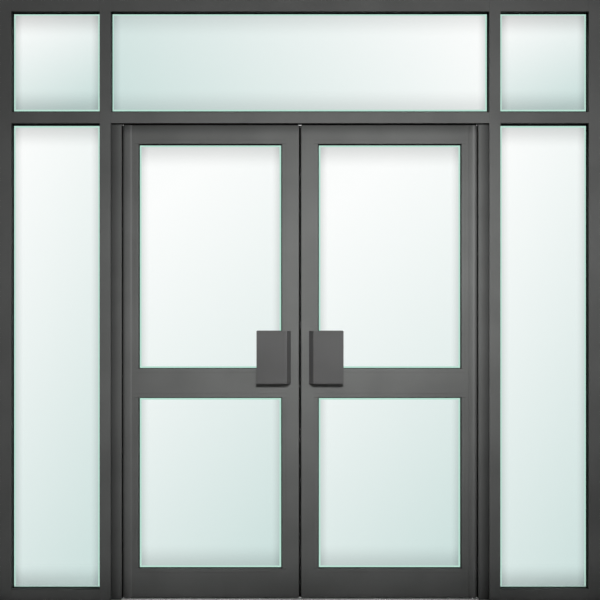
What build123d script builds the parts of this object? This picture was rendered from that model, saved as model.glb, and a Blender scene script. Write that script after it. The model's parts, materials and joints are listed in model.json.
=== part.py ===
"""Aluminium shopfront screen: a pair of pivot-hung glazed doors with sidelights and transom lights.

Millimetres. +X right, the street side faces -Y, +Z up. The origin is on the floor, in the middle
of the doorway and of the frame's depth.
"""

import os

from build123d import *

# Overall frame
frame_width = 2700
frame_height = 2700
frame_depth = 100
jamb_face = 53
head_face = 54
mullion_face = 50
transom_face = 50
sill_face = 50
half_doorway = 850
transom_underside = 2144

# Extruded sections
frame_wall = 3
leaf_wall = 2.5
frame_corner = 1

# Glazing
glass_thickness = 10
gasket_thickness = 6
gasket_lip = 1.5
gasket_slope = 20
pocket_depth = 15
glass_edge_gap = 3
gasket_edge_gap = 5

# Doorway
door_jamb_face = 47
scallop_dip = 2
threshold_height = 5
threshold_edge = 1.5
threshold_bevel = 12

# Door leaves
heel_radius = 27
heel_clearance = 5
leaf_thickness = 44
leaf_foot_gap = 5
leaf_head_gap = 7
meeting_gap = 10
meeting_stile_face = 76
meeting_nose = 4
heel_stile_face = 46
top_rail_face = 84
mid_rail_low = 911
mid_rail_face = 129
bottom_rail_face = 130

# Glazing beads
bead_face = 18
bead_wall = 2
bead_bevel = 1.5
bead_reveal = 0.8

# Brush seal of the meeting edge
brush_groove = 7
brush_groove_depth = 6
brush_backing = 2
brush_pile = 4
brush_proud = 2

# Pivots
pin_radius = 8
pin_engagement = 40
pivot_clearance = 0.3
pivot_tube_wall = 3
pivot_web = 3
collar_radius = 13

# Bent plate pulls
pull_height = 236
pull_low = 975
pull_plate = 5
pull_bend = 2
pull_inset = 33
pull_foot = 24
pull_slope = 21
pull_grip = 136
pull_standoff = 50

# Derived
half_width = frame_width / 2
half_depth = frame_depth / 2
half_glass = glass_thickness / 2
half_pocket = half_glass + gasket_thickness
glass_bite = pocket_depth - glass_edge_gap
gasket_bury = pocket_depth - gasket_edge_gap
mullion_far = half_doorway + mullion_face
jamb_inner = half_width - jamb_face
head_underside = frame_height - head_face
transom_top = transom_underside + transom_face
door_jamb_edge = half_doorway - door_jamb_face
scallop_radius = heel_radius + heel_clearance
pivot_x = door_jamb_edge + scallop_dip - scallop_radius
half_leaf = leaf_thickness / 2
leaf_bottom = threshold_height + leaf_foot_gap
leaf_top = transom_underside - leaf_head_gap
half_gap = meeting_gap / 2
meeting_sight = half_gap + meeting_stile_face
meeting_box_edge = meeting_sight - bead_face
heel_stile_sight = pivot_x - heel_stile_face
heel_box_edge = heel_stile_sight + bead_face
rail_length = heel_box_edge - meeting_box_edge
pull_foot_near = half_gap + pull_inset
pull_foot_far = pull_foot_near + pull_foot
pull_front_near = pull_foot_near + pull_slope
pull_front_far = pull_front_near + pull_grip
mid_rail_top = mid_rail_low + mid_rail_face
bottom_rail_top = leaf_bottom + bottom_rail_face
top_rail_low = leaf_top - top_rail_face
pane_heights = {"lower": (bottom_rail_top, mid_rail_low), "upper": (mid_rail_top, top_rail_low)}

sides = {"left": -1, "right": 1}
faces = {"outer": -1, "inner": 1}

os.makedirs("parts", exist_ok=True)


def save(builder, name):
    """Label a finished piece and write it."""
    builder.part.label = name
    export_step(builder.part, f"parts/{name}.step")


def upright(bottom):
    """Plane of an upright's section: across is X, depth is Y, and it is extruded upwards."""
    return Plane.XY.offset(bottom)


def level(right_end):
    """Plane of a level member's section: across is Z, depth is Y, and it is extruded towards -X."""
    return Plane(origin=(right_end, 0, 0), x_dir=(0, 0, 1), z_dir=(-1, 0, 0))


def box_between(low, high, half, mode=Mode.ADD, corner=0):
    """Rectangle of a section from low to high across, and half each way in depth."""
    width = abs(high - low)
    with Locations(((low + high) / 2, 0)):
        if corner:
            RectangleRounded(width, 2 * half, corner, mode=mode)
        else:
            Rectangle(width, 2 * half, mode=mode)


def hollow_section(low, high, half, wall, corner, grooves=()):
    """Box section. Each groove is (edge, half width, depth), open at that edge and lined by the wall."""
    box_between(low, high, half, corner=corner)
    box_between(low + wall, high - wall, half - wall, mode=Mode.SUBTRACT)
    for edge, half_groove, depth in grooves:
        inward = 1 if edge == low else -1
        box_between(edge + inward * wall, edge + inward * (depth + wall), half_groove + wall)
        box_between(edge, edge + inward * depth, half_groove, mode=Mode.SUBTRACT)


def frame_member(name, plane, length, low, high, pocket_edges):
    """Frame extrusion with a glazing pocket along each named edge."""
    with BuildPart() as member:
        with BuildSketch(plane):
            pockets = [(edge, half_pocket, pocket_depth) for edge in pocket_edges]
            hollow_section(low, high, half_depth, frame_wall, frame_corner, pockets)
        extrude(amount=length)
    save(member, name)


def pane(name, left, right, low, high):
    """Glass pane whose edges reach past the sight line into the pocket."""
    with BuildPart() as glass:
        with BuildSketch(Plane.XZ.offset(-half_glass)):
            with Locations(((left + right) / 2, (low + high) / 2)):
                Rectangle(right - left + 2 * glass_bite, high - low + 2 * glass_bite)
        extrude(amount=glass_thickness)
    save(glass, name)


def gasket_rings(left, right, low, high):
    """Rubber ring on each side of a pane, wedge-shaped where it shows. Adds to the part in hand."""
    for outward in faces.values():
        seat = Plane(
            origin=((left + right) / 2, outward * half_glass, (low + high) / 2),
            x_dir=(1, 0, 0),
            z_dir=(0, outward, 0),
        )
        with BuildSketch(seat) as ring:
            Rectangle(right - left + 2 * gasket_bury, high - low + 2 * gasket_bury)
        extrude(ring.sketch, amount=gasket_thickness)
        with BuildSketch(seat) as sight:
            Rectangle(right - left - 2 * gasket_lip, high - low - 2 * gasket_lip)
        extrude(sight.sketch, amount=gasket_thickness, taper=-gasket_slope, mode=Mode.SUBTRACT)


# Outer jambs and mullions, the full height of the frame
for side, sign in sides.items():
    jamb_edges = sorted((sign * jamb_inner, sign * half_width))
    frame_member(f"{side}_jamb", upright(0), frame_height, *jamb_edges, [sign * jamb_inner])
    mullion_edges = sorted((sign * half_doorway, sign * mullion_far))
    frame_member(f"{side}_mullion", upright(0), frame_height, *mullion_edges, mullion_edges)

# Head, transom and sill members, cut between the uprights
bays = {
    "left": (-jamb_inner, -mullion_far),
    "center": (-half_doorway, half_doorway),
    "right": (mullion_far, jamb_inner),
}
for bay, (left, right) in bays.items():
    end = level(right)
    length = right - left
    frame_member(f"head_{bay}", end, length, head_underside, frame_height, [head_underside])
    transom_pockets = [transom_top] if bay == "center" else [transom_underside, transom_top]
    frame_member(f"transom_{bay}", end, length, transom_underside, transom_top, transom_pockets)
    if bay != "center":
        frame_member(f"sill_{bay}", end, length, 0, sill_face, [sill_face])

# Fixed glass and its gaskets
fixed_lights = {}
for bay, (left, right) in bays.items():
    fixed_lights[f"transom_glass_{bay}"] = (left, right, transom_top, head_underside)
    if bay != "center":
        fixed_lights[f"sidelight_glass_{bay}"] = (left, right, sill_face, transom_underside)
for name, edges in fixed_lights.items():
    pane(name, *edges)
with BuildPart() as frame_gaskets:
    for edges in fixed_lights.values():
        gasket_rings(*edges)
save(frame_gaskets, "frame_gaskets")

# Recessed door jambs as deep as the round heel, and hollowed along the pivot axis to clear it
for side, sign in sides.items():
    with BuildPart() as door_jamb:
        with BuildSketch(upright(0)):
            edges = sorted((sign * door_jamb_edge, sign * half_doorway))
            box_between(*edges, heel_radius, corner=frame_corner)
            cavity_near = pivot_x + scallop_radius + frame_wall
            cavity_edges = (sign * cavity_near, sign * (half_doorway - frame_wall))
            box_between(*cavity_edges, heel_radius - frame_wall, mode=Mode.SUBTRACT)
            with Locations((sign * pivot_x, 0)):
                Circle(scallop_radius, mode=Mode.SUBTRACT)
        extrude(amount=transom_underside)
    save(door_jamb, f"{side}_door_jamb")

# Threshold strip with bevelled edges
with BuildPart() as threshold:
    with BuildSketch(Plane.YZ.offset(-door_jamb_edge)):
        with BuildLine():
            Polyline(
                (-half_depth, 0),
                (-half_depth, threshold_edge),
                (-half_depth + threshold_bevel, threshold_height),
                (half_depth - threshold_bevel, threshold_height),
                (half_depth, threshold_edge),
                (half_depth, 0),
                close=True,
            )
        make_face()
    extrude(amount=2 * door_jamb_edge)
save(threshold, "threshold")

# Pivot pins: a collar carries the leaf, and a pin enters the tube in the heel
pivot_ends = (
    (threshold_height, leaf_bottom, 1),
    (transom_underside, leaf_top, -1),
)
for side, sign in sides.items():
    with BuildPart() as pivots:
        for seat, leaf_end, into_leaf in pivot_ends:
            with BuildSketch(Plane.XY.offset(seat)):
                with Locations((sign * pivot_x, 0)):
                    Circle(collar_radius)
            extrude(amount=leaf_end - into_leaf * pivot_clearance - seat)
            with BuildSketch(Plane.XY.offset(seat)):
                with Locations((sign * pivot_x, 0)):
                    Circle(pin_radius)
            extrude(amount=leaf_end + into_leaf * pin_engagement - seat)
    save(pivots, f"{side}_pivots")


def heel_stile(side, sign):
    """Round heel concentric with the pivot axis, running into the flat stile."""
    pivot = (sign * pivot_x, 0)
    with BuildPart() as stile:
        with BuildSketch(upright(leaf_bottom)):
            with Locations(pivot):
                Circle(heel_radius)
            box_between(sign * heel_box_edge, sign * pivot_x, half_leaf)
            with Locations(pivot):
                Circle(heel_radius - leaf_wall, mode=Mode.SUBTRACT)
            cavity_edge = sign * (heel_box_edge + leaf_wall)
            box_between(cavity_edge, sign * pivot_x, half_leaf - leaf_wall, mode=Mode.SUBTRACT)
            with Locations(pivot):
                Circle(pin_radius + pivot_clearance + pivot_tube_wall)
                Rectangle(pivot_web, 2 * (heel_radius - leaf_wall / 2))
                Circle(pin_radius + pivot_clearance, mode=Mode.SUBTRACT)
        extrude(amount=leaf_top - leaf_bottom)
    save(stile, f"{side}_heel_stile")


def meeting_stile(side, sign):
    """Box stile with a nose rounded for the swing and a groove for the brush."""
    with BuildPart() as stile:
        with BuildSketch(upright(leaf_bottom)) as section:
            edges = sorted((sign * half_gap, sign * meeting_box_edge))
            groove = (sign * half_gap, brush_groove / 2, brush_groove_depth)
            hollow_section(*edges, half_leaf, leaf_wall, 0, [groove])
            corners = section.vertices().group_by(Axis.Y)
            nose = [v for row in (corners[0], corners[-1]) for v in row if abs(v.X) < half_gap + 1]
            fillet(nose, meeting_nose)
        extrude(amount=leaf_top - leaf_bottom)
    save(stile, f"{side}_meeting_stile")


def leaf_rail(name, sign, low, high):
    """Box rail between the stiles."""
    right_end = max(sign * meeting_box_edge, sign * heel_box_edge)
    with BuildPart() as rail:
        with BuildSketch(level(right_end)):
            hollow_section(low, high, half_leaf, leaf_wall, 0)
        extrude(amount=rail_length)
    save(rail, name)


def bead_section(sight, seat, outward):
    """Channel from the sight line to the stile or rail, open towards the glass."""
    across = 1 if seat > sight else -1
    face = outward * half_leaf
    back = outward * half_pocket
    inside = face - outward * bead_wall
    with BuildLine() as outline:
        Polyline(
            (sight, back),
            (sight, face - outward * bead_bevel),
            (sight + across * bead_bevel, face),
            (seat - across * bead_reveal, face),
            (seat, face - outward * bead_reveal),
            (seat, back),
            (seat - across * bead_wall, back),
            (seat - across * bead_wall, inside),
            (sight + across * bead_wall, inside),
            (sight + across * bead_wall, back),
            close=True,
        )
    make_face(outline.edges())


def glazing_beads(side, sign):
    """Level beads from stile to stile, and upright beads between them, on both sides of both panes."""
    right_end = max(sign * meeting_box_edge, sign * heel_box_edge)
    with BuildPart() as beads:
        for outward in faces.values():
            for low, high in pane_heights.values():
                for sight, seat in ((low, low - bead_face), (high, high + bead_face)):
                    with BuildSketch(level(right_end)):
                        bead_section(sight, seat, outward)
                    extrude(amount=rail_length)
                for sight, seat in ((meeting_sight, meeting_box_edge), (heel_stile_sight, heel_box_edge)):
                    with BuildSketch(upright(low)):
                        bead_section(sign * sight, sign * seat, outward)
                    extrude(amount=high - low)
    save(beads, f"{side}_glazing_beads")


def leaf_seals(side, sign, sight_edges):
    """Gaskets of both panes, and the brush strip in the meeting edge."""
    groove_floor = half_gap + brush_groove_depth
    with BuildPart() as seals:
        for low, high in pane_heights.values():
            gasket_rings(*sight_edges, low, high)
        with BuildSketch(upright(leaf_bottom)):
            backing_edges = (sign * (groove_floor - brush_backing), sign * groove_floor)
            box_between(*backing_edges, brush_groove / 2)
            pile_edges = (sign * (half_gap - brush_proud), sign * groove_floor)
            box_between(*pile_edges, brush_pile / 2)
        extrude(amount=leaf_top - leaf_bottom)
    save(seals, f"{side}_seals")


def pull(side, sign, face, outward):
    """Plate bent round a standing web, with its fixing foot hidden behind the grip."""
    stile_face = outward * half_leaf
    grip_back = outward * (half_leaf + pull_standoff)
    with BuildPart() as handle:
        with BuildSketch(upright(pull_low)):
            with BuildLine():
                FilletPolyline(
                    (sign * pull_foot_far, stile_face),
                    (sign * pull_foot_near, stile_face),
                    (sign * pull_front_near, grip_back + outward * pull_plate),
                    (sign * pull_front_far, grip_back + outward * pull_plate),
                    radius=pull_bend + pull_plate,
                )
                offset(amount=pull_plate, side=Side.RIGHT if sign == outward else Side.LEFT)
            make_face()
        extrude(amount=pull_height)
    save(handle, f"{side}_{face}_pull")


# Door leaves
for side, sign in sides.items():
    sight_edges = sorted((sign * meeting_sight, sign * heel_stile_sight))
    heel_stile(side, sign)
    meeting_stile(side, sign)
    leaf_rail(f"{side}_top_rail", sign, top_rail_low + bead_face, leaf_top)
    leaf_rail(f"{side}_mid_rail", sign, mid_rail_low + bead_face, mid_rail_top - bead_face)
    leaf_rail(f"{side}_bottom_rail", sign, leaf_bottom, bottom_rail_top - bead_face)
    for light, (low, high) in pane_heights.items():
        pane(f"{side}_{light}_glass", *sight_edges, low, high)
    glazing_beads(side, sign)
    leaf_seals(side, sign, sight_edges)
    for face, outward in faces.items():
        pull(side, sign, face, outward)
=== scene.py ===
"""Finishes, light and camera for the aluminium shopfront door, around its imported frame.

Metres. +X right, the street side faces -Y, +Z up, and the floor is at z = 0.
"""

import json
import math
import random
from typing import NamedTuple

import bpy
import bmesh
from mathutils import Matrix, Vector


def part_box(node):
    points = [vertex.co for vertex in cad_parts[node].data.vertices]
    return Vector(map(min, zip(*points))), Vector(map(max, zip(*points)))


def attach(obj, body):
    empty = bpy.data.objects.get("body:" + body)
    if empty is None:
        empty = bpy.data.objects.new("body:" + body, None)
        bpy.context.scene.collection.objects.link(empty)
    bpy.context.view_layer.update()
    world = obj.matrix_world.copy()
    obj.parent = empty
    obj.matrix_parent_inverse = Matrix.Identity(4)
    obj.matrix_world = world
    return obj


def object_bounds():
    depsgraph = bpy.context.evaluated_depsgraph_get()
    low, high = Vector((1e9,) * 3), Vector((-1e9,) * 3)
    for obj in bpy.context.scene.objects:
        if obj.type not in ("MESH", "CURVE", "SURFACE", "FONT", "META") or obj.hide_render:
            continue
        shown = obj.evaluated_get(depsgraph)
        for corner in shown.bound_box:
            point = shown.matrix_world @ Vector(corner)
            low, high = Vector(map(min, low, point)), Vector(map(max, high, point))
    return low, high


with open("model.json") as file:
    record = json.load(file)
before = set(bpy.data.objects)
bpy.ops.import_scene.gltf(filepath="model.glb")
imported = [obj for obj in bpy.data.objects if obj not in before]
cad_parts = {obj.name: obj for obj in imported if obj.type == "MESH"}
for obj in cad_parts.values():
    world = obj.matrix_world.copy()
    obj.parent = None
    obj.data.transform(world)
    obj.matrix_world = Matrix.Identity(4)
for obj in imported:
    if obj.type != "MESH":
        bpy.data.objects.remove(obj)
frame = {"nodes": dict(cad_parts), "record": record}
cad_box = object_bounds()

NODES = frame["nodes"]
LEAVES = {"left": -1, "right": 1}


# Camera

VIEW_DISTANCE = 9.0
VIEW_HEIGHT = 1.35
PULL_REACH = 0.027
FRONT_FACE = cad_box[0][1] + PULL_REACH
SENSOR = 36.0
SEEN_WIDTH = 2.694


def set_camera():
    """Square-on from the street, at the middle of the screen's height."""
    data = bpy.data.cameras.new("shopfront_view")
    data.sensor_width = SENSOR
    data.lens = SENSOR * VIEW_DISTANCE / SEEN_WIDTH
    camera = bpy.data.objects.new("shopfront_view", data)
    camera.location = (0.0, FRONT_FACE - VIEW_DISTANCE, VIEW_HEIGHT)
    camera.rotation_euler = (math.radians(90), 0, 0)
    bpy.context.scene.collection.objects.link(camera)
    bpy.context.scene.camera = camera


# Node helpers


class Nodes:
    """Short hand for building one node tree, as a material or as a group."""

    def __init__(self, tree):
        self.tree = tree

    def add(self, kind, inputs=None, **settings):
        node = self.tree.nodes.new(kind)
        for key, value in settings.items():
            setattr(node, key, value)
        for key, value in (inputs or {}).items():
            self.feed(node.inputs[key], value)
        return node

    def feed(self, socket, value):
        if isinstance(value, bpy.types.NodeSocket):
            self.tree.links.new(value, socket)
        else:
            socket.default_value = value

    def math(self, operation, a, b=0.0, clamp=False):
        return self.add("ShaderNodeMath", {0: a, 1: b}, operation=operation, use_clamp=clamp).outputs[0]

    def fade(self, value, start, end, low=1.0, high=0.0):
        """Smooth change from low at start to high at end."""
        inputs = {"Value": value, "From Min": start, "From Max": end, "To Min": low, "To Max": high}
        return self.add("ShaderNodeMapRange", inputs, interpolation_type="SMOOTHSTEP").outputs["Result"]

    def blend(self, factor, a, b, kind="MIX"):
        node = self.add("ShaderNodeMix", data_type="RGBA", blend_type=kind)
        self.feed(node.inputs["Factor"], factor)
        self.feed(node.inputs[6], a)
        self.feed(node.inputs[7], b)
        return node.outputs[2]

    def noise(self, vector, scale, detail=2.0, roughness=0.5):
        inputs = {"Vector": vector, "Scale": scale, "Detail": detail, "Roughness": roughness}
        return self.add("ShaderNodeTexNoise", inputs).outputs["Fac"]

    def group(self, tree, **inputs):
        node = self.add("ShaderNodeGroup", node_tree=tree)
        for key, value in inputs.items():
            self.feed(node.inputs[key.replace("_", " ")], value)
        return node


def new_group(name, inputs, outputs):
    """Shader node group with named sockets. Returns its tree, its nodes, its inputs and its output node."""
    tree = bpy.data.node_groups.new(name, "ShaderNodeTree")
    for socket, value in inputs.items():
        kind = "NodeSocketVector" if value is None else "NodeSocketFloat"
        made = tree.interface.new_socket(name=socket, in_out="INPUT", socket_type=kind)
        if value is not None:
            made.default_value = value
    for socket in outputs:
        tree.interface.new_socket(name=socket, in_out="OUTPUT", socket_type="NodeSocketFloat")
    nodes = Nodes(tree)
    entry = nodes.add("NodeGroupInput").outputs
    leave = nodes.add("NodeGroupOutput").inputs
    return tree, nodes, entry, leave


def colour(red, green, blue):
    """Screen colour of 0 to 255 as the linear colour that a shader takes."""
    def linear(value):
        share = value / 255
        return share / 12.92 if share <= 0.04045 else ((share + 0.055) / 1.055) ** 2.4

    return (linear(red), linear(green), linear(blue), 1.0)


BLACK = (0.0, 0.0, 0.0, 1.0)
WHITE = (1.0, 1.0, 1.0, 1.0)


# Effects shared by several materials


def make_coat_skin():
    """Powder coat: fine orange peel, a softer mottle, and pigment specks."""
    tree, n, given, out = new_group(
        "powder_coat_skin",
        {"Place": None, "Peel Scale": 900.0, "Mottle Scale": 6.0},
        ["Mottle", "Speck", "Height"],
    )
    peel = n.noise(given["Place"], given["Peel Scale"], detail=1.5)
    mottle = n.noise(given["Place"], given["Mottle Scale"], detail=4.0)
    speck_scale = n.math("MULTIPLY", given["Peel Scale"], 2.2)
    speck = n.noise(given["Place"], speck_scale, detail=0.0)
    n.feed(out["Mottle"], n.fade(mottle, 0.3, 0.7, 0.0, 1.0))
    n.feed(out["Speck"], n.fade(speck, 0.62, 0.74, 0.0, 1.0))
    n.feed(out["Height"], peel)
    return tree


def make_rub_marks():
    """Faint long scratches and rubbed patches, drawn out along one direction of the piece."""
    tree, n, given, out = new_group(
        "rub_marks", {"Place": None, "Across": 400.0, "Patch Scale": 3.0}, ["Lines", "Patches"]
    )
    lines = n.noise(given["Place"], given["Across"], detail=3.0, roughness=0.7)
    patches = n.noise(given["Place"], given["Patch Scale"], detail=3.0)
    n.feed(out["Lines"], n.fade(lines, 0.35, 0.65, 0.0, 1.0))
    n.feed(out["Patches"], n.fade(patches, 0.45, 0.7, 0.0, 1.0))
    return tree


SIDE_SHADE_REACH = 0.05
END_SHADE_REACH = 0.115
EDGE_REFLECTION_WIDTH = 0.0075
EDGE_REFLECTION_BLUR = 0.001875
GASKET_SHADE_BLUR = 0.0003


def make_pane_shade():
    """How far along a pane its painted light gradient runs, the painted soft shade inside its edges, a
    painted bright reflection in a band along the edges, and the black lip of the gasket on the glass, drawn
    wider with painted shade.

    Across and Down run from 0 to 1 over the seen glass, from its left and from its top.
    """
    tree, n, given, out = new_group(
        "pane_shade",
        {
            "Place": None, "Middle X": 0.0, "Middle Z": 0.0, "Half Width": 1.0, "Half Height": 1.0,
            "Tint Start": 0.0, "Tint Across": 0.3, "Tint Down": 0.5,
            "Side Shade": 0.22, "Top Shade": 0.28, "Bottom Shade": 0.3,
            "Side Lip": 0.003, "Top Lip": 0.003, "Bottom Lip": 0.003,
        },
        ["Tint", "Light", "Edge Reflection", "Gasket And Shade"],
    )
    place = n.add("ShaderNodeSeparateXYZ", {"Vector": given["Place"]}).outputs
    from_middle = n.math("SUBTRACT", place["X"], given["Middle X"])
    above_middle = n.math("SUBTRACT", place["Z"], given["Middle Z"])
    from_left = n.math("ADD", given["Half Width"], from_middle)
    from_right = n.math("SUBTRACT", given["Half Width"], from_middle)
    from_bottom = n.math("ADD", given["Half Height"], above_middle)
    from_top = n.math("SUBTRACT", given["Half Height"], above_middle)

    # Painted light gradient over the glass, from its value at the top left, rising across and down: the
    # higher it is, the darker and more blue-green the glass.
    across = n.math("DIVIDE", from_left, n.math("MULTIPLY", given["Half Width"], 2.0))
    down = n.math("DIVIDE", from_top, n.math("MULTIPLY", given["Half Height"], 2.0))
    tint_and_light = n.math("ADD", given["Tint Start"], n.math("MULTIPLY", across, given["Tint Across"]))
    tint_and_light = n.math("ADD", tint_and_light, n.math("MULTIPLY", down, given["Tint Down"]), clamp=True)
    n.feed(out["Tint"], tint_and_light)

    light = 1.0
    for distance, depth, reach in (
        (from_left, "Side Shade", SIDE_SHADE_REACH),
        (from_right, "Side Shade", SIDE_SHADE_REACH),
        (from_top, "Top Shade", END_SHADE_REACH),
        (from_bottom, "Bottom Shade", END_SHADE_REACH),
    ):
        shade = n.math("MULTIPLY", n.fade(distance, 0.0, reach), given[depth])
        light = n.math("MULTIPLY", n.math("SUBTRACT", 1.0, shade), light)
    n.feed(out["Light"], light)

    # Black gasket lip on the glass. In places it is drawn wider than the rubber, as painted shade of the dark
    # reveal beside it.
    past_gasket_shade = n.math("SUBTRACT", n.math("MINIMUM", from_left, from_right), given["Side Lip"])
    past_gasket_shade = n.math("MINIMUM", past_gasket_shade, n.math("SUBTRACT", from_top, given["Top Lip"]))
    past_gasket_shade = n.math("MINIMUM", past_gasket_shade, n.math("SUBTRACT", from_bottom, given["Bottom Lip"]))
    # Painted bright reflection in a band just past the gasket edge.
    n.feed(out["Edge Reflection"], n.fade(past_gasket_shade, EDGE_REFLECTION_WIDTH - EDGE_REFLECTION_BLUR, EDGE_REFLECTION_WIDTH + EDGE_REFLECTION_BLUR))
    n.feed(out["Gasket And Shade"], n.fade(past_gasket_shade, -GASKET_SHADE_BLUR, GASKET_SHADE_BLUR))
    return tree


coat_skin = make_coat_skin()
rub_marks = make_rub_marks()
pane_shade = make_pane_shade()


# Materials


def new_material(name):
    """Empty node material. Returns it, its nodes and the place on the piece."""
    material = bpy.data.materials.new(name)
    material.use_nodes = True
    material.node_tree.nodes.clear()
    nodes = Nodes(material.node_tree)
    place = nodes.add("ShaderNodeTexCoord").outputs["Object"]
    return material, nodes, place


def new_finish(name):
    """Material with one surface shader. Returns it, its nodes, the place on the piece, and the inputs."""
    material, nodes, place = new_material(name)
    surface = nodes.add("ShaderNodeBsdfPrincipled")
    nodes.add("ShaderNodeOutputMaterial", {"Surface": surface.outputs["BSDF"]})
    return material, nodes, place, surface.inputs


COAT_SPECK = colour(120, 118, 114)
WALL_SIDE = 0.01


def reveal_mask(n, spot, depth):
    """Depth of the shade on the sides that look along the screen, apart from those against the wall."""
    facing = n.add("ShaderNodeSeparateXYZ", {"Vector": n.add("ShaderNodeTexCoord").outputs["Normal"]}).outputs
    side = n.fade(n.math("ABSOLUTE", facing["Y"]), 0.3, 0.9, depth, 0.0)
    inside = n.math("LESS_THAN", n.math("ABSOLUTE", spot["X"]), cad_box[1][0] - WALL_SIDE)
    under = n.math("LESS_THAN", spot["Z"], cad_box[1][2] - WALL_SIDE)
    return n.math("MULTIPLY", side, n.math("MULTIPLY", inside, under))


def coated_aluminium(name, dark, light, roughness, peel, shades=(), reveal=0.0):
    """Satin powder coat. Each of shades darkens it softly along one axis, as (axis, from, to, depth), and
    reveal is the depth of the shade on the narrow sides beside the glass."""
    material, n, place, surface = new_finish(name)
    skin = n.group(coat_skin, Place=place, Peel_Scale=900.0, Mottle_Scale=5.0).outputs
    tone = n.blend(skin["Mottle"], dark, light)
    tone = n.blend(n.math("MULTIPLY", skin["Speck"], 0.25), tone, COAT_SPECK)
    spot = n.add("ShaderNodeSeparateXYZ", {"Vector": place}).outputs
    for axis, start, end, depth in shades:
        tone = n.blend(n.fade(spot[axis], start, end, depth, 0.0), tone, BLACK)
    if reveal:
        tone = n.blend(reveal_mask(n, spot, reveal), tone, BLACK)
    n.feed(surface["Base Color"], tone)
    n.feed(surface["Roughness"], n.fade(skin["Mottle"], 0.0, 1.0, roughness - 0.02, roughness + 0.03))
    n.feed(surface["Specular IOR Level"], 0.2)
    bump = n.add("ShaderNodeBump", {"Strength": peel, "Distance": 0.0004, "Height": skin["Height"]})
    n.feed(surface["Normal"], bump.outputs["Normal"])
    return material


ALONG_STRIP = (0.01, 1.0, 1.0)


def mill_aluminium(name):
    """Bare extruded strip, with the die's long lines and scuffs from feet."""
    material, n, place, surface = new_finish(name)
    stretch = n.add("ShaderNodeVectorMath", {0: place, 1: ALONG_STRIP}, operation="MULTIPLY").outputs[0]
    marks = n.group(rub_marks, Place=stretch, Across=500.0, Patch_Scale=9.0).outputs
    tone = n.blend(marks["Lines"], colour(238, 239, 238), colour(250, 251, 250))
    scuffs = n.math("MULTIPLY", marks["Patches"], 0.4)
    n.feed(surface["Base Color"], n.blend(scuffs, tone, colour(214, 213, 210)))
    n.feed(surface["Metallic"], 0.02)
    n.feed(surface["Roughness"], n.fade(marks["Patches"], 0.0, 1.0, 0.38, 0.5))
    bump = n.add("ShaderNodeBump", {"Strength": 0.25, "Distance": 0.0003, "Height": marks["Lines"]})
    n.feed(surface["Normal"], bump.outputs["Normal"])
    return material


def turned_steel(name, roughness):
    """Steel of pins and screws."""
    material, n, place, surface = new_finish(name)
    marks = n.group(rub_marks, Place=place, Across=900.0, Patch_Scale=60.0).outputs
    n.feed(surface["Base Color"], n.blend(marks["Lines"], colour(150, 150, 150), colour(186, 186, 185)))
    n.feed(surface["Metallic"], 1.0)
    n.feed(surface["Roughness"], n.fade(marks["Patches"], 0.0, 1.0, roughness, roughness + 0.12))
    return material


def black_rubber(name):
    """Extruded gasket rubber, faintly dusty."""
    material, n, place, surface = new_finish(name)
    skin = n.group(coat_skin, Place=place, Peel_Scale=1400.0, Mottle_Scale=14.0).outputs
    n.feed(surface["Base Color"], n.blend(skin["Mottle"], colour(20, 20, 20), colour(34, 34, 33)))
    n.feed(surface["Roughness"], n.fade(skin["Mottle"], 0.0, 1.0, 0.62, 0.78))
    n.feed(surface["Specular IOR Level"], 0.3)
    bump = n.add("ShaderNodeBump", {"Strength": 0.3, "Distance": 0.0003, "Height": skin["Height"]})
    n.feed(surface["Normal"], bump.outputs["Normal"])
    return material


def brush_fibre(name):
    """Dull black nylon pile."""
    material, n, place, surface = new_finish(name)
    tone = n.noise(place, 700.0, detail=1.0)
    n.feed(surface["Base Color"], n.blend(tone, colour(5, 5, 5), colour(26, 26, 25)))
    n.feed(surface["Roughness"], 0.9)
    n.feed(surface["Specular IOR Level"], 0.1)
    return material


# Ends of the painted light gradient (lit and nearly clear, shaded and blue-green), the painted bright
# reflection along the edges, and the black of the gasket edge with its painted shade.
GLASS_LIT_CLEAR = colour(252, 254, 253)
GLASS_SHADED_CAST = colour(204, 224, 221)
EDGE_REFLECTION_TONE = colour(186, 226, 211)
GASKET_AND_SHADE_TONE = colour(12, 13, 13)
GLASS_EDGE = 0.012


class PaneLook(NamedTuple):
    """Look of one pane.

    The first field is the painted light gradient: its value at the top left, its rise across and its rise
    down. shades are the depths of the painted soft shade inside the sides, the top and the bottom, and the
    third field the widths of the gasket's black edge at the same three, drawn wider than the rubber with
    painted shade.
    lean is how much wider that edge is at the left and narrower at the right, which is also painted shade.
    """

    tint_and_light: tuple
    shades: tuple
    gasket_and_shade: tuple
    lean: float = 0.0


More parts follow.
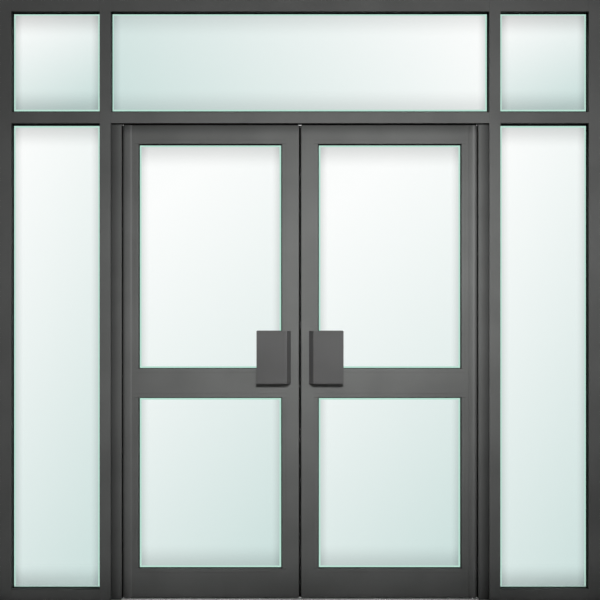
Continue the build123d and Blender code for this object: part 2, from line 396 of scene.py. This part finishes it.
def pane_glass(node, look):
    """Clear toughened glass with a faint blue-green cast, painted with a light gradient, a soft shade inside
    its edges, a bright reflection along them, and a black gasket edge widened with painted shade.
    """
    low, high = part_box(node)
    material, n, place, surface = new_finish(node + "_finish")
    shade = n.group(
        pane_shade,
        Place=place,
        Middle_X=(low.x + high.x) / 2 + look.lean,
        Middle_Z=(low.z + high.z) / 2,
        Half_Width=(high.x - low.x) / 2 - GLASS_EDGE,
        Half_Height=(high.z - low.z) / 2 - GLASS_EDGE,
        Tint_Start=look.tint_and_light[0],
        Tint_Across=look.tint_and_light[1],
        Tint_Down=look.tint_and_light[2],
        Side_Shade=look.shades[0],
        Top_Shade=look.shades[1],
        Bottom_Shade=look.shades[2],
        Side_Lip=look.gasket_and_shade[0],
        Top_Lip=look.gasket_and_shade[1],
        Bottom_Lip=look.gasket_and_shade[2],
    ).outputs
    # Painted light: the lit-to-shaded gradient, the painted edge shade, the painted bright edge reflection,
    # then the black gasket edge with painted shade.
    body = n.blend(shade["Tint"], GLASS_LIT_CLEAR, GLASS_SHADED_CAST)
    body = n.blend(1.0, body, shade["Light"], kind="MULTIPLY")
    body = n.blend(shade["Edge Reflection"], body, EDGE_REFLECTION_TONE)
    n.feed(surface["Base Color"], n.blend(shade["Gasket And Shade"], body, GASKET_AND_SHADE_TONE))
    n.feed(surface["Roughness"], 0.0)
    n.feed(surface["IOR"], 1.5)
    n.feed(surface["Transmission Weight"], 1.0)
    wave = n.noise(place, 3.0, detail=1.0)
    bump = n.add("ShaderNodeBump", {"Strength": 0.02, "Distance": 0.002, "Height": wave})
    n.feed(surface["Normal"], bump.outputs["Normal"])
    return material


COAT_ROUGHNESS = 0.45
FRAME_TONES = (colour(87, 88, 87), colour(93, 94, 93), COAT_ROUGHNESS, 0.12)
PULL_TONES = (colour(71, 71, 71), colour(76, 76, 76), COAT_ROUGHNESS, 0.1)
JAMB_SHADE = (0.055, 0.5)
RAIL_SHADE = (0.05, 0.42)
FOOT_SHADE = ("Z", -0.02, 0.22, 0.42)
REVEAL_SHADE = 0.65

frame_coat = coated_aluminium("frame_coating", *FRAME_TONES, (FOOT_SHADE,), REVEAL_SHADE)
pull_coat = coated_aluminium("pull_coating", *PULL_TONES)
threshold_metal = mill_aluminium("threshold_aluminium")
pivot_steel = turned_steel("pivot_steel", 0.3)
screw_steel = turned_steel("screw_steel", 0.24)
rubber = black_rubber("black_rubber")
fibre = brush_fibre("brush_fibre")

# Each pane's painted light gradient, painted edge shades, and gasket edge widths that hold painted shade.
SIDELIGHT = PaneLook((-0.05, 0.25, 0.82), (0.24, 0.3, 0.29), (0.0042, 0.0085, 0.0015))
SMALL_TRANSOM = PaneLook((-0.1, 0.37, 0.89), (0.27, 0.34, 0.3), (0.0042, 0.005, 0.0075))
OUTER_LEAN = 0.0015
PANE_LOOKS = {
    "upper_glass": PaneLook((-0.15, 0.23, 0.46), (0.25, 0.28, 0.0), (0.0041, 0.0056, 0.0035)),
    "lower_glass": PaneLook((0.32, 0.33, 0.38), (0.24, 0.0, 0.25), (0.0041, 0.0035, 0.0041)),
    "sidelight_glass_left": SIDELIGHT._replace(lean=OUTER_LEAN),
    "sidelight_glass_right": SIDELIGHT._replace(lean=-OUTER_LEAN),
    "transom_glass_left": SMALL_TRANSOM._replace(lean=OUTER_LEAN),
    "transom_glass_right": SMALL_TRANSOM._replace(lean=-OUTER_LEAN),
    "transom_glass_center": PaneLook((0.8, -0.85, 0.22), (0.25, 0.2, 0.2), SMALL_TRANSOM.gasket_and_shade, -0.0025),
}

RECESSED = ("door_jamb", "top_rail", "heel_stile", "meeting_stile")


def recessed_coat(name):
    """The frame's coat with the soft shade of a door jamb beside its mullion, or of the top of a leaf under
    the transom."""
    low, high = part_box(name)
    if name.endswith("door_jamb"):
        outer, inward = (low.x, 1) if name.startswith("left") else (high.x, -1)
        reach, depth = JAMB_SHADE
        shade = ("X", outer, outer + inward * reach, depth)
    else:
        reach, depth = RAIL_SHADE
        shade = ("Z", high.z, high.z - reach, depth)
    return coated_aluminium(name + "_coating", *FRAME_TONES, (FOOT_SHADE, shade))


def dress_nodes():
    """Every solid of the frame gets the finish of its material slot, and each pane its own painted light
    gradient, edge shade and reflection.
    """
    slots = {s["node"]: s["material_slot"] for s in frame["record"]["subparts"]}
    finishes = {
        "frame_coating": frame_coat,
        "pull_coating": pull_coat,
        "threshold_aluminium": threshold_metal,
        "pivot_steel": pivot_steel,
        "black_rubber": rubber,
    }
    for name, node in NODES.items():
        if slots[name] == "clear_glass":
            finish = pane_glass(name, next(look for key, look in PANE_LOOKS.items() if key in name))
            node.visible_shadow = False
        elif name.endswith(RECESSED):
            finish = recessed_coat(name)
        else:
            finish = finishes[slots[name]]
        node.data.materials.clear()
        node.data.materials.append(finish)


# Small parts that the solids leave out


def finish_piece(name, mesh, body, material, smooth_angle=None):
    """Turn a bmesh into a piece that rides on a body."""
    data = bpy.data.meshes.new(name)
    mesh.normal_update()
    mesh.to_mesh(data)
    mesh.free()
    if smooth_angle is not None:
        data.shade_smooth()
        data.set_sharp_from_angle(angle=math.radians(smooth_angle))
    data.materials.append(material)
    piece = bpy.data.objects.new(name, data)
    bpy.context.scene.collection.objects.link(piece)
    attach(piece, body)
    return piece


UP = Vector((0, 0, 1))
BACK = Vector((0, 1, 0))


def ring_of(mesh, centre, axis, radius, height, sides):
    """Circle of vertices round a level axis, at a height along it. The first one is straight above."""
    beside = axis.cross(UP)
    points = []
    for i in range(sides):
        angle = 2 * math.pi * i / sides
        offset = UP * (radius * math.cos(angle)) + beside * (radius * math.sin(angle))
        points.append(mesh.verts.new(centre + axis * height + offset))
    return points


def bridge(mesh, lower, upper):
    """Band of faces between two rings of the same number of vertices."""
    count = len(lower)
    for i in range(count):
        j = (i + 1) % count
        mesh.faces.new((lower[i], lower[j], upper[j], upper[i]))


HEAD_SIDES = 36
SOCKET_SIDES = 6
SOCKET_FLOOR = 0.35
SCREW_DOME = ((1.0, 0.0), (1.0, 0.25), (0.93, 0.55), (0.78, 0.82), (0.6, 0.96), (0.52, 1.0))


def add_button_screw(mesh, centre, axis, radius, height, socket):
    """Low domed screw head with a hexagon socket. centre is on the seat, and axis points out of it."""
    rings = [ring_of(mesh, centre, axis, radius * r, height * h, HEAD_SIDES) for r, h in SCREW_DOME]
    for lower, upper in zip(rings, rings[1:]):
        bridge(mesh, lower, upper)
    mouth = ring_of(mesh, centre, axis, socket, height, SOCKET_SIDES)
    floor = ring_of(mesh, centre, axis, socket, height * SOCKET_FLOOR, SOCKET_SIDES)
    per_side = HEAD_SIDES // SOCKET_SIDES
    for i in range(SOCKET_SIDES):
        rim = [rings[-1][(i * per_side + k) % HEAD_SIDES] for k in range(per_side + 1)]
        mesh.faces.new([*rim, mouth[(i + 1) % SOCKET_SIDES], mouth[i]])
    for i in range(SOCKET_SIDES):
        j = (i + 1) % SOCKET_SIDES
        mesh.faces.new((mouth[i], mouth[j], floor[j], floor[i]))
    mesh.faces.new(floor)
    mesh.faces.new(list(reversed(rings[0])))


PULL_SCREWS = 3
SCREW_RADIUS = 0.0055
SCREW_HEIGHT = 0.0033
SOCKET_RADIUS = 0.002
SCREW_MARGIN = 0.03
PULL_PLATE = 0.005
FOOT_MIDDLE = 0.0505


def add_pull_screws():
    """Button-head screws through the hidden foot of each pull."""
    for side, sign in LEAVES.items():
        for face, outward in (("outer", -1), ("inner", 1)):
            low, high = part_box(f"{side}_{face}_pull")
            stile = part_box(f"{side}_meeting_stile")
            seat = (stile[0].y if outward < 0 else stile[1].y) + outward * PULL_PLATE
            mesh = bmesh.new()
            for i in range(PULL_SCREWS):
                share = i / (PULL_SCREWS - 1)
                z = low.z + SCREW_MARGIN + share * (high.z - low.z - 2 * SCREW_MARGIN)
                centre = Vector((sign * FOOT_MIDDLE, seat, z))
                add_button_screw(mesh, centre, BACK * outward, SCREW_RADIUS, SCREW_HEIGHT, SOCKET_RADIUS)
            finish_piece(f"{side}_{face}_pull_screws", mesh, f"{side}_leaf", screw_steel, 35)


PILE_PITCH = 0.0015
PILE_ROWS = (-0.0027, -0.0011, 0.0011, 0.0027)
PILE_FOOT = 0.0088
PILE_OVERLAP = 0.0004
FIBRE_RADIUS = 0.0008
ROW_SWAY = 0.0003
TUFT_WEAR = 0.00015
TUFT_LEAN = 0.0006
TUFT_STRETCH = 1.6


def add_tuft(mesh, draw, foot, along, across, rise, tall):
    """Three-sided bundle of fibres, leaning a little along its row."""
    foot = foot + across * draw.uniform(-ROW_SWAY, ROW_SWAY)
    tip = foot + rise * (tall - draw.uniform(0, TUFT_WEAR)) + along * draw.uniform(-TUFT_LEAN, TUFT_LEAN)
    rings = ([], [])
    for k in range(3):
        angle = 2 * math.pi * k / 3 + draw.uniform(-0.4, 0.4)
        side = (across * math.cos(angle) + along * (TUFT_STRETCH * math.sin(angle))) * FIBRE_RADIUS
        rings[0].append(mesh.verts.new(foot + side))
        rings[1].append(mesh.verts.new(tip + side * 0.8))
    bridge(mesh, *rings)
    mesh.faces.new(rings[1])
    mesh.faces.new(list(reversed(rings[0])))


def add_straight_pile(mesh, draw, start, along, across, rise, length, tall, rows=PILE_ROWS):
    """Rows of tufts along a line."""
    for i in range(int(length / PILE_PITCH)):
        for row in rows:
            step = (i + 0.5 + draw.uniform(-0.3, 0.3)) * PILE_PITCH
            add_tuft(mesh, draw, start + along * step + across * row, along, across, rise, tall)


def add_round_pile(mesh, draw, centre, radius, tall):
    """Rows of upright tufts in a ring."""
    count = int(2 * math.pi * radius / PILE_PITCH)
    for i in range(count):
        angle = 2 * math.pi * i / count
        out = Vector((math.cos(angle), math.sin(angle), 0))
        along = Vector((-out.y, out.x, 0))
        for row in PILE_ROWS:
            add_tuft(mesh, draw, centre + out * (radius + row), along, out, UP, tall)


def finish_pile(name, mesh, body):
    bmesh.ops.recalc_face_normals(mesh, faces=mesh.faces)
    finish_piece(name, mesh, body, fibre)


PIVOT_X = 0.773
HEEL_RADIUS = 0.027
JAMB_SCALLOP = 0.032
HEAD_RING = 0.0195
PILE_CLEARANCE = 0.0002
JAMB_PILE_CLEARANCE = 0.0001


def add_meeting_pile(draw, side, sign):
    """Brush of the meeting edge. Its rows stand between those of the other leaf."""
    low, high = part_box(f"{side}_meeting_stile")
    outward = Vector((sign, 0, 0))
    mesh = bmesh.new()
    foot = outward * PILE_FOOT + UP * low.z
    rows = [sign * row for row in PILE_ROWS if row > 0]
    tall = PILE_FOOT + PILE_OVERLAP
    add_straight_pile(mesh, draw, foot, UP, BACK, -outward, high.z - low.z, tall, rows)
    finish_pile(f"{side}_meeting_pile", mesh, f"{side}_leaf")


def add_head_pile(draw, side, sign, under_transom):
    """Brush on top of a leaf and in a ring round its pivot."""
    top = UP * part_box(f"{side}_meeting_stile")[1].z
    outward = Vector((sign, 0, 0))
    mesh = bmesh.new()
    tall = under_transom - top.z - PILE_CLEARANCE
    length = PIVOT_X - HEAD_RING - PILE_FOOT
    add_straight_pile(mesh, draw, outward * PILE_FOOT + top, outward, BACK, UP, length, tall)
    add_round_pile(mesh, draw, outward * PIVOT_X + top, HEAD_RING, tall)
    finish_pile(f"{side}_head_pile", mesh, f"{side}_leaf")


def add_jamb_pile(draw, side, sign, under_transom):
    """Brush in the hollow of a door jamb, against the round heel."""
    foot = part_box("threshold")[1].z + PILE_CLEARANCE
    outward = Vector((sign, 0, 0))
    mesh = bmesh.new()
    tall = JAMB_SCALLOP - HEEL_RADIUS - JAMB_PILE_CLEARANCE
    length = under_transom - PILE_CLEARANCE - foot
    start = outward * (PIVOT_X + JAMB_SCALLOP) + UP * foot
    add_straight_pile(mesh, draw, start, UP, BACK, -outward, length, tall)
    finish_pile(f"{side}_jamb_pile", mesh, "frame")


def add_brush_pile():
    """All brush seals, from one row of random draws."""
    draw = random.Random(7)
    under_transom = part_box("transom_center")[0].z
    for side, sign in LEAVES.items():
        add_meeting_pile(draw, side, sign)
        add_head_pile(draw, side, sign, under_transom)
        add_jamb_pile(draw, side, sign, under_transom)


# Stage: floor, world and lamps

FLOOR_RADIUS = 6.0
FLOOR_SIDES = 96
FLOOR_TONE = (0.9, 0.9, 0.9, 1.0)
FLOOR_FADE = (0.2, 1.2)
AMBIENT = 0.19
REFLECTED = 0.07
SEEN = 1.075


def backdrop_strength(n):
    """White where it is seen, dimmer in reflections, and a soft fill as light."""
    path = n.add("ShaderNodeLightPath").outputs
    seen = n.math("MAXIMUM", path["Is Camera Ray"], path["Is Transmission Ray"])
    mirrored = n.math("GREATER_THAN", path["Glossy Depth"], 0.5)
    strength = AMBIENT
    for ray, share in ((seen, SEEN), (mirrored, REFLECTED)):
        switch = n.add("ShaderNodeMix", data_type="FLOAT")
        n.feed(switch.inputs[0], ray)
        n.feed(switch.inputs[2], strength)
        n.feed(switch.inputs[3], share)
        strength = switch.outputs[0]
    return strength


def floor_finish():
    """Pale matt floor that fades into the backdrop with the distance from the screen."""
    material, n, place = new_material("studio_floor")
    spot = n.add("ShaderNodeSeparateXYZ", {"Vector": place}).outputs
    beside = n.math("MAXIMUM", n.math("SUBTRACT", n.math("ABSOLUTE", spot["X"]), cad_box[1][0]), 0.0)
    offset = n.add("ShaderNodeCombineXYZ", {"X": beside, "Y": spot["Y"]}).outputs[0]
    distance = n.add("ShaderNodeVectorMath", {0: offset}, operation="LENGTH").outputs["Value"]
    matt = n.add(
        "ShaderNodeBsdfPrincipled", {"Base Color": FLOOR_TONE, "Roughness": 0.9, "Specular IOR Level": 0.1}
    )
    backdrop = n.add("ShaderNodeEmission", {"Color": WHITE, "Strength": backdrop_strength(n)})
    far = n.fade(distance, *FLOOR_FADE, low=0.0, high=1.0)
    mix = n.add("ShaderNodeMixShader", {0: far, 1: matt.outputs[0], 2: backdrop.outputs[0]})
    n.add("ShaderNodeOutputMaterial", {"Surface": mix.outputs[0]})
    return material


def make_floor():
    """Round studio floor under the screen."""
    mesh = bmesh.new()
    bmesh.ops.create_circle(mesh, cap_ends=True, segments=FLOOR_SIDES, radius=FLOOR_RADIUS)
    data = bpy.data.meshes.new("studio_floor")
    mesh.to_mesh(data)
    mesh.free()
    data.materials.append(floor_finish())
    floor = bpy.data.objects.new("studio_floor", data)
    bpy.context.scene.collection.objects.link(floor)


def make_world():
    """The backdrop all around."""
    world = bpy.data.worlds.new("studio")
    world.use_nodes = True
    world.node_tree.nodes.clear()
    n = Nodes(world.node_tree)
    background = n.add("ShaderNodeBackground", {"Color": WHITE, "Strength": backdrop_strength(n)})
    n.add("ShaderNodeOutputWorld", {"Surface": background.outputs[0]})
    bpy.context.scene.world = world


def aim(obj, target):
    """Turn a lamp's -Z towards a point."""
    obj.rotation_euler = (Vector(target) - obj.location).to_track_quat("-Z", "Y").to_euler()


def hang_lamp(data, place, target, power):
    """Aimed lamp that is not seen itself, also not through the glass."""
    data.energy = power
    lamp = bpy.data.objects.new(data.name, data)
    lamp.location = place
    aim(lamp, target)
    lamp.visible_camera = False
    lamp.visible_transmission = False
    bpy.context.scene.collection.objects.link(lamp)
    return lamp


def add_area(name, place, target, size, power):
    data = bpy.data.lights.new(name, "AREA")
    data.shape = "RECTANGLE"
    data.size, data.size_y = size
    return hang_lamp(data, place, target, power)


def add_spot(name, place, target, cone, radius, power):
    data = bpy.data.lights.new(name, "SPOT")
    data.spot_size = math.radians(cone)
    data.spot_blend = 1.0
    data.shadow_soft_size = radius
    hang_lamp(data, place, target, power).visible_glossy = False


POOL_RADIUS = 0.8
POOL_FROM = (0.5, -11.0, 4.8)


def light_scene():
    """Soft pools of light on the doors from the street, a strip at the right that only the coat mirrors, and
    a lamp over the back."""
    add_spot("door_pool", POOL_FROM, (0.52, 0, 1.48), 11.0, POOL_RADIUS, 7650)
    add_spot("low_pool", POOL_FROM, (-0.45, 0, 1.12), 12.8, POOL_RADIUS, 4250)
    add_spot("wide_pool", POOL_FROM, (-0.15, 0, 3.3), 29, POOL_RADIUS, 1850)
    strip = add_area("right_strip", (4.7, -3.7, 2.3), (0, 0, 1.7), (1.8, 2.4), 330)
    strip.visible_diffuse = False
    add_area("overhead", (0.0, 1.2, 4.6), (0, 0.9, 0), (3.6, 1.8), 190)


set_camera()
dress_nodes()
add_pull_screws()
add_brush_pile()
make_floor()
make_world()
light_scene()

scene = bpy.context.scene
scene.view_settings.view_transform = "Standard"
